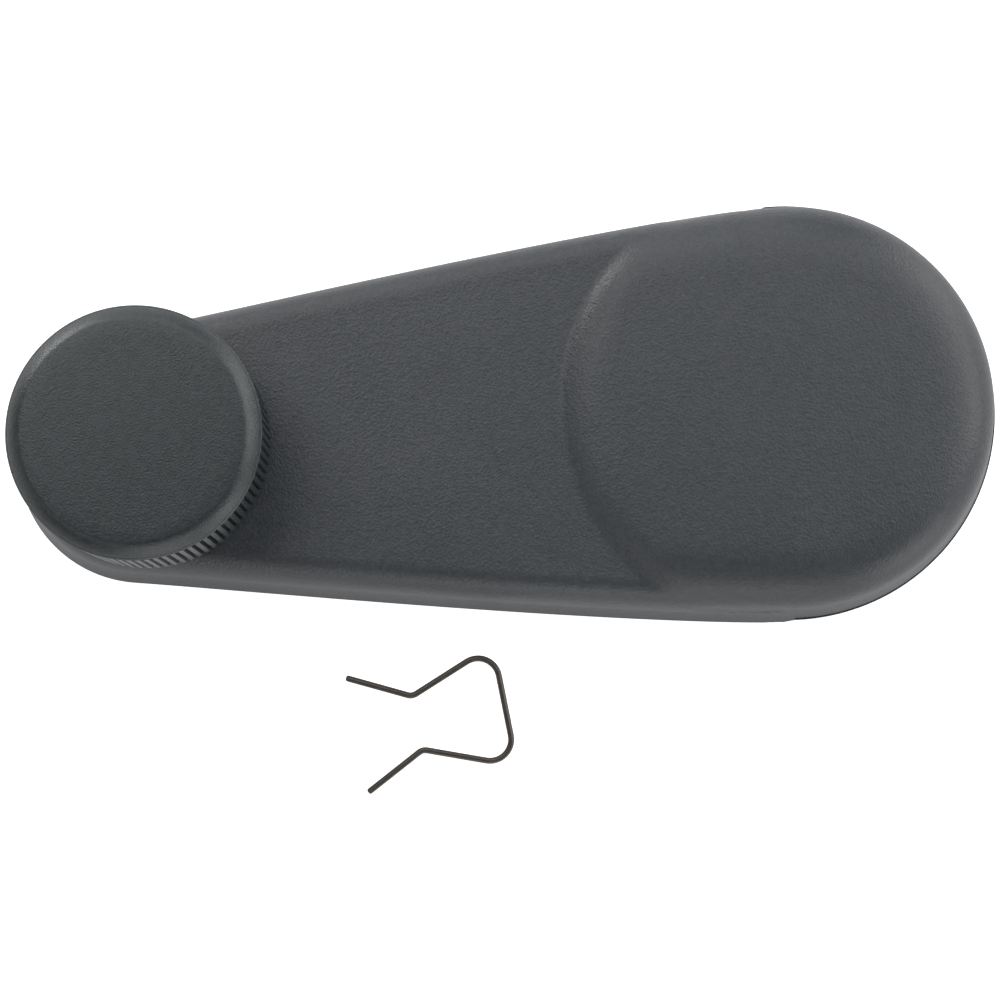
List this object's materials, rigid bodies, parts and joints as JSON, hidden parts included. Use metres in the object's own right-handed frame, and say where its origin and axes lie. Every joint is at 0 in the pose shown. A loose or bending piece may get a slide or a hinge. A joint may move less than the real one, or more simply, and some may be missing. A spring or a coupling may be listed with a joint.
{
  "type": "car window winder handle",
  "caption": "Crank handle for a car window: a tapered moulded arm with a raised hub, a ribbed turning knob and a loose wire retaining clip.",
  "frame": {"origin": "on the window shaft's axis, in the plane of the handle's back, which is the face of the hub disc that lies against the door", "axes": "+X along the arm from the knob to the hub, +Z out of the door along the shaft and the knob's axis, +Y across the arm"},
  "size_m": [0.1349, 0.077, 0.0305],
  "materials": {
    "arm_plastic": "semi-matt charcoal moulding with a fine leather grain",
    "knob_plastic": "semi-matt charcoal moulding with a fine grain",
    "disc_plastic": "smooth black plastic",
    "bush_plastic": "natural bearing plastic",
    "steel": "zinc-plated pressed steel",
    "zinc": "die-cast light alloy",
    "spring_wire": "oiled dark spring steel wire"
  },
  "bodies": {
    "arm": {"arm_cover": "arm_plastic", "crank_plate": "steel", "hub_disc": "disc_plastic", "splined_socket": "zinc", "socket_rivet_1": "steel", "socket_rivet_2": "steel", "socket_rivet_3": "steel", "cover_screw_1": "steel", "cover_screw_2": "steel", "cover_screw_3": "steel", "cover_screw_4": "steel", "cover_screw_5": "steel", "knob_spindle": "steel", "thrust_washer": "bush_plastic", "wave_washer": "steel", "retaining_ring": "steel"},
    "knob": {"knob_grip": "knob_plastic", "knob_cap": "knob_plastic", "knob_bush": "bush_plastic"},
    "clip": {"wire_clip": "spring_wire"}
  },
  "joints": [
    {"name": "knob_spin", "type": "hinge", "parent": "arm", "child": "knob", "pos_m": [-0.0868, 0, 0.0208], "axis": [0, 0, 1], "continuous": true},
    {"name": "clip_lift", "type": "slide", "parent": "arm", "child": "clip", "axis": [0, 0, 1], "range_m": [0, 0.025]}
  ]
}
